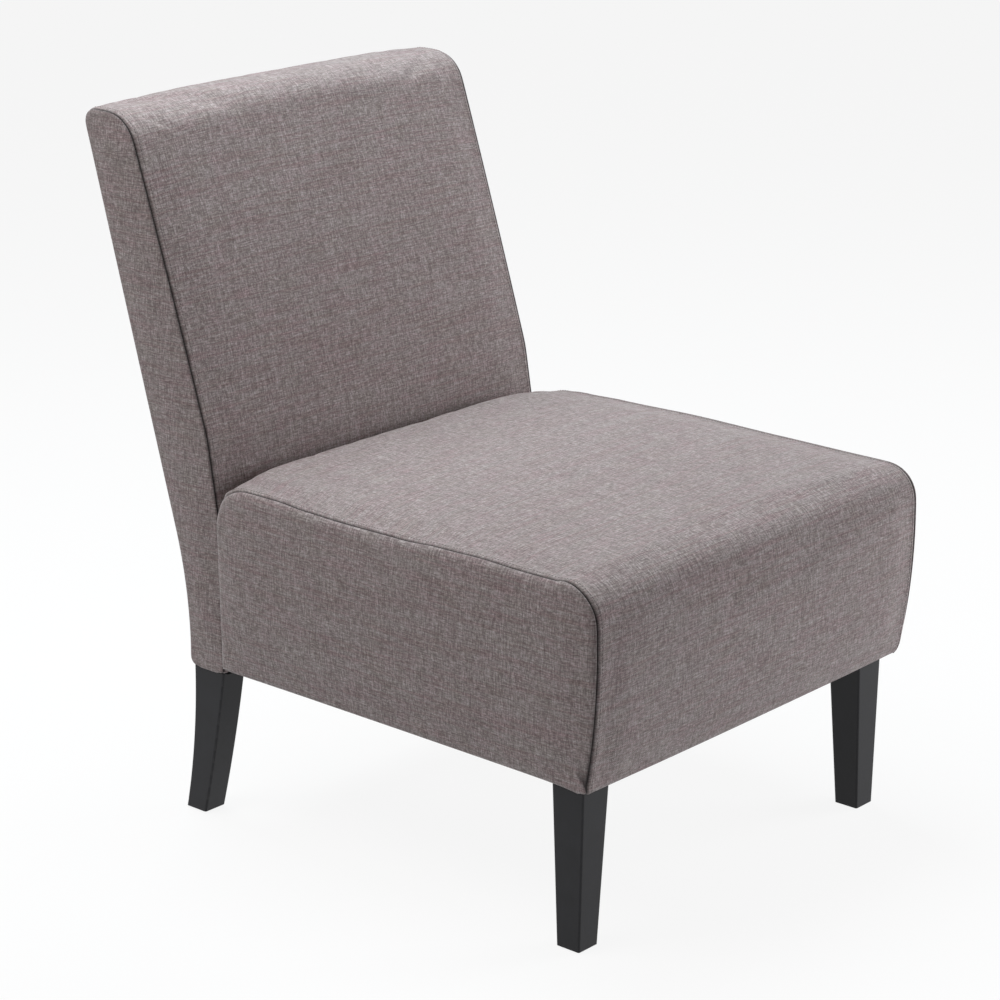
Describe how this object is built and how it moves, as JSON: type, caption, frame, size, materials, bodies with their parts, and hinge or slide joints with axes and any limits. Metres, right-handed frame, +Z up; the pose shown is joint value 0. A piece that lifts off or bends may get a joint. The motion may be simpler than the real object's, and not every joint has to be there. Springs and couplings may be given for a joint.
{
  "type": "slipper chair",
  "caption": "Armless upholstered lounge chair with a box seat, a raked padded back and tapered dark wood legs.",
  "frame": {"origin": "centre of the chair's footprint on the floor, between its two sides and between the front of the seat and the rear of the back", "axes": "+Z up; the sitter faces -Y; +X to the sitter's left"},
  "size_m": [0.576, 0.7546, 0.8134],
  "materials": {
    "leg_wood": "satin near-black painted hardwood",
    "frame_wood": "planed, unfinished hardwood",
    "upholstery_cloth": "taupe-grey linen-look plain weave",
    "lining_cloth": "black non-woven cloth",
    "foam": "open-cell cushion foam",
    "wadding": "white fibre wadding",
    "liner_board": "thin stiff fibreboard",
    "webbing": "woven elastic webbing",
    "spring_steel": "oiled spring wire",
    "zinc_plated_steel": "bright zinc plated",
    "glide_plastic": "black nylon glide"
  },
  "bodies": {
    "root": {"back_bottom_rail": "frame_wood", "back_cover_main": "upholstery_cloth", "back_cover_rear": "upholstery_cloth", "back_cover_side_left": "upholstery_cloth", "back_cover_side_right": "upholstery_cloth", "back_foam": "foam", "back_frame_dowels": "frame_wood", "back_liner": "liner_board", "back_middle_rail": "frame_wood", "back_post_left": "frame_wood", "back_post_right": "frame_wood", "back_strap_1": "webbing", "back_strap_2": "webbing", "back_strap_3": "webbing", "back_top_rail": "frame_wood", "back_under_cloth": "lining_cloth", "back_wadding": "wadding", "corner_block_front_left": "frame_wood", "corner_block_front_right": "frame_wood", "corner_block_rear_left": "frame_wood", "corner_block_rear_right": "frame_wood", "corner_block_screws": "zinc_plated_steel", "dust_cover": "lining_cloth", "foot_glide_front_left": "glide_plastic", "foot_glide_front_right": "glide_plastic", "foot_glide_rear_left": "glide_plastic", "foot_glide_rear_right": "glide_plastic", "front_leg_bolts": "zinc_plated_steel", "front_leg_left": "leg_wood", "front_leg_nuts": "zinc_plated_steel", "front_leg_right": "leg_wood", "front_leg_washers": "zinc_plated_steel", "joint_bolts": "zinc_plated_steel", "joint_nuts": "zinc_plated_steel", "joint_washers": "zinc_plated_steel", "rear_leg_left": "leg_wood", "rear_leg_right": "leg_wood", "rear_leg_screws": "zinc_plated_steel", "seat_cover_main": "upholstery_cloth", "seat_cover_side_left": "upholstery_cloth", "seat_cover_side_right": "upholstery_cloth", "seat_foam": "foam", "seat_frame_dowels": "frame_wood", "seat_front_rail": "frame_wood", "seat_rear_rail": "frame_wood", "seat_side_rail_left": "frame_wood", "seat_side_rail_right": "frame_wood", "seat_spring_1": "spring_steel", "seat_spring_2": "spring_steel", "seat_spring_3": "spring_steel", "seat_spring_4": "spring_steel", "seat_spring_5": "spring_steel", "seat_wadding": "wadding", "spring_clip_nails": "zinc_plated_steel", "spring_clips": "zinc_plated_steel", "spring_cloth": "lining_cloth", "spring_tie_wire_1": "spring_steel", "spring_tie_wire_2": "spring_steel"}
  },
  "joints": []
}
